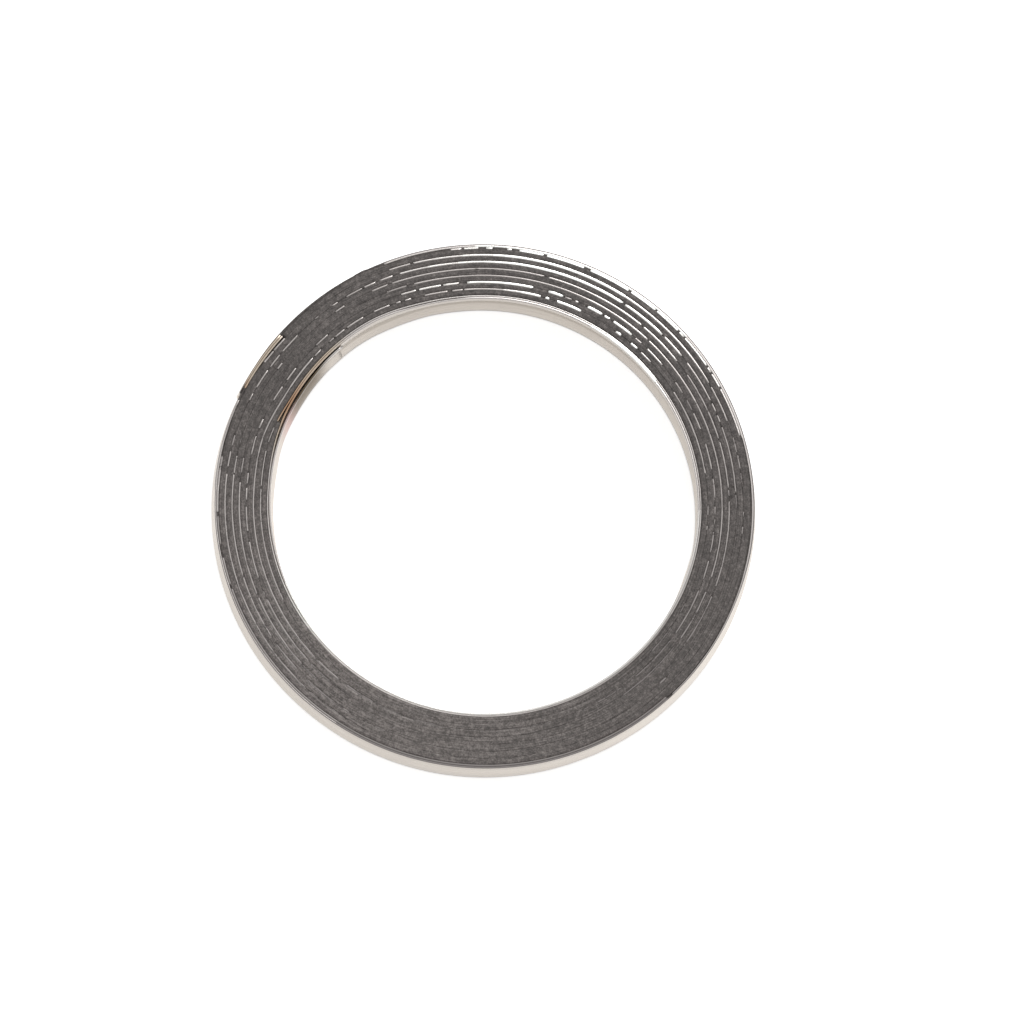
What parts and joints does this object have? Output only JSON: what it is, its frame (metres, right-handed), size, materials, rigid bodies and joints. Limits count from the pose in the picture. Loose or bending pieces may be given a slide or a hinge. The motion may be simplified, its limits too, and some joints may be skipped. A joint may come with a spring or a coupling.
{
  "type": "spiral-wound ring gasket",
  "caption": "Flat ring gasket wound from a ridged steel strip and a graphite tape, which seals a pipe joint between two flanges.",
  "frame": {"origin": "centre of the bore, in the plane of the lower sealing face", "axes": "+Z along the bore axis, up to the upper sealing face; +X through the middle of the sector where the plies step over the strip's start"},
  "size_m": [0.0638, 0.0638, 0.0055],
  "materials": {
    "steel": "bright rolled strip",
    "graphite": "pressed, grainy, matt"
  },
  "bodies": {
    "root": {"steel_strip": "steel", "graphite_tape": "graphite"}
  },
  "joints": []
}
